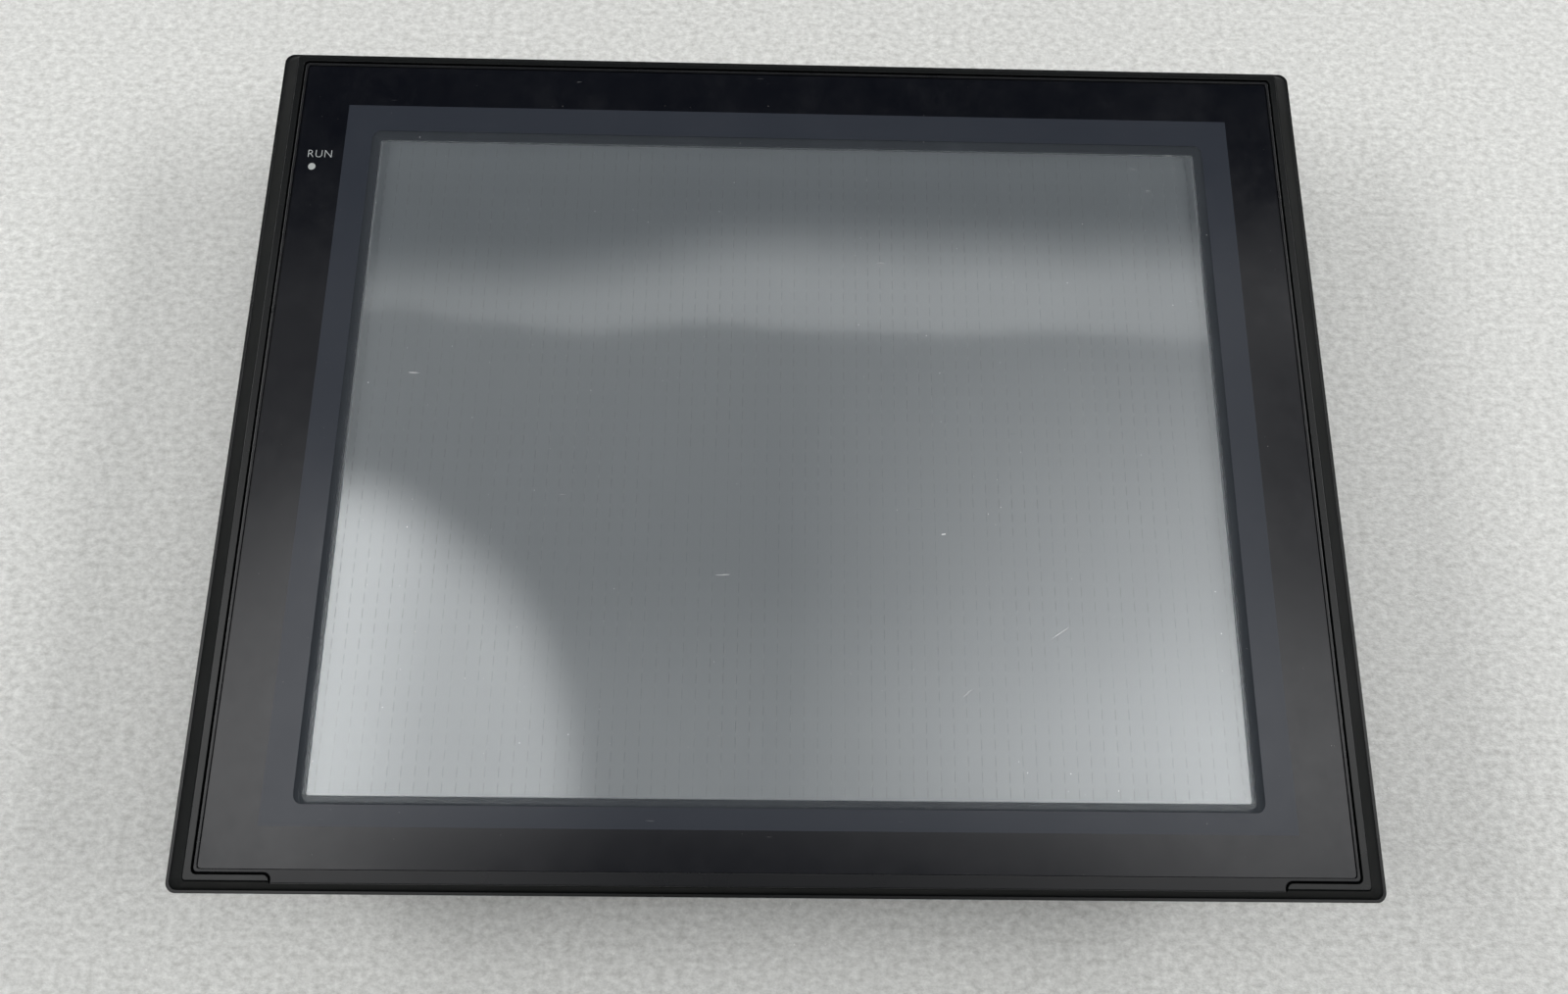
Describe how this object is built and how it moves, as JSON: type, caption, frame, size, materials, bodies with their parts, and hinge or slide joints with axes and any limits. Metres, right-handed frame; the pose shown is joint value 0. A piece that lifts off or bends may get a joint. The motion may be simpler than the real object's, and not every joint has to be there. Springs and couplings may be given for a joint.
{
  "type": "operator touch panel",
  "caption": "Flush panel-mounted operator touch panel with bevelled flange, display window, run light and a vented rear case with connector recess and hinged covers.",
  "frame": {"origin": "middle of the rear face, the face that the unit lies on", "axes": "+X along the long side, to the right for a person who reads the screen; +Y up the screen; +Z out of the screen"},
  "size_m": [0.315, 0.241, 0.0485],
  "materials": {
    "black_housing": "matt moulded, fine grain",
    "front_sheet": "matt, fine texture",
    "overlay": "hard-coated polyester, satin, clear over the screen",
    "touch_layer": "clear",
    "foam": "foam",
    "rubber_seal": "matt",
    "light_lens": "translucent",
    "indicator": "unlit",
    "board_green": "solder mask",
    "sheet_steel": "zinc plated",
    "display_glass": "anti-glare, unlit",
    "white_plastic": "matt",
    "cable_film": "polyimide",
    "screw_steel": "zinc plated",
    "chip_black": "matt",
    "heat_sink_metal": "extruded",
    "connector_plastic": "glass filled",
    "terminal_green": "moulded",
    "clear_cover": "clear",
    "plated_shell": "tin plated shell, black insulator",
    "switch_body": "moulded",
    "switch_white": "moulded",
    "button_grey": "moulded",
    "case_plastic": "spark-eroded texture",
    "cover_plate": "powder coated",
    "rating_foil": "blank satin foil"
  },
  "bodies": {
    "panel": {"front_bezel": "black_housing", "front_plate": "front_sheet", "overlay_film": "overlay", "touch_film": "touch_layer", "touch_glass": "touch_layer", "touch_gasket": "foam", "panel_gasket": "rubber_seal", "run_light_pipe": "light_lens", "light_guide": "light_lens", "run_led": "indicator", "led_board": "board_green", "main_board": "board_green", "power_board": "board_green", "inverter_board": "board_green", "lcd_frame": "sheet_steel", "lcd_back_cover": "sheet_steel", "chassis_plate": "sheet_steel", "ethernet_port": "sheet_steel", "usb_port": "sheet_steel", "lcd_glass": "display_glass", "lcd_optical_sheets": "white_plastic", "lcd_tray": "white_plastic", "backlight_lamps": "white_plastic", "touch_flex": "cable_film", "lcd_flex": "cable_film", "chassis_screws": "screw_steel", "board_screws": "screw_steel", "case_screws": "screw_steel", "expansion_screws": "screw_steel", "jackscrews": "screw_steel", "board_standoffs": "screw_steel", "terminal_screws": "screw_steel", "coin_cell": "screw_steel", "processor": "chip_black", "memory_chips": "chip_black", "buzzer": "chip_black", "power_transformer": "chip_black", "power_capacitors": "chip_black", "inverter_transformers": "chip_black", "heat_sink": "heat_sink_metal", "battery_holder": "connector_plastic", "card_socket": "connector_plastic", "reset_switch": "connector_plastic", "terminal_block": "terminal_green", "serial_port_a": "plated_shell", "serial_port_b": "plated_shell", "dip_switch": "switch_body", "rear_case": "case_plastic", "expansion_cover": "cover_plate", "rating_plate": "rating_foil"},
    "battery_lid": {"battery_cover": "case_plastic"},
    "card_flap": {"card_door": "case_plastic"},
    "terminal_flap": {"terminal_cover": "clear_cover"},
    "eject_button": {"card_eject_button": "button_grey"},
    "reset_key": {"reset_button": "button_grey"},
    "dip_1": {"dip_slider_1": "switch_white"},
    "dip_2": {"dip_slider_2": "switch_white"},
    "dip_3": {"dip_slider_3": "switch_white"},
    "dip_4": {"dip_slider_4": "switch_white"}
  },
  "joints": [
    {"name": "battery_lid_hinge", "type": "hinge", "parent": "panel", "child": "battery_lid", "pos_m": [0.062, -0.0065, 0.0018], "axis": [1, 0, 0], "range_deg": [0, 100]},
    {"name": "card_flap_hinge", "type": "hinge", "parent": "panel", "child": "card_flap", "pos_m": [0.1484, -0.0362, 0.0202], "axis": [0, -1, 0], "range_deg": [0, 95]},
    {"name": "terminal_flap_hinge", "type": "hinge", "parent": "panel", "child": "terminal_flap", "pos_m": [-0.086, -0.0892, 0.0141], "axis": [-1, 0, 0], "range_deg": [0, 88]},
    {"name": "eject_push", "type": "slide", "parent": "panel", "child": "eject_button", "axis": [-1, 0, 0], "range_m": [0, 0.004]},
    {"name": "reset_push", "type": "slide", "parent": "panel", "child": "reset_key", "axis": [0, 1, 0], "range_m": [0, 0.0008], "stiffness_N_per_m": 500, "springref_m": -0.0004},
    {"name": "dip_slide_1", "type": "slide", "parent": "panel", "child": "dip_1", "axis": [0, 0, 1], "range_m": [0, 0.0019]},
    {"name": "dip_slide_2", "type": "slide", "parent": "panel", "child": "dip_2", "axis": [0, 0, 1], "range_m": [0, 0.0019]},
    {"name": "dip_slide_3", "type": "slide", "parent": "panel", "child": "dip_3", "axis": [0, 0, 1], "range_m": [0, 0.0019]},
    {"name": "dip_slide_4", "type": "slide", "parent": "panel", "child": "dip_4", "axis": [0, 0, 1], "range_m": [0, 0.0019]}
  ]
}
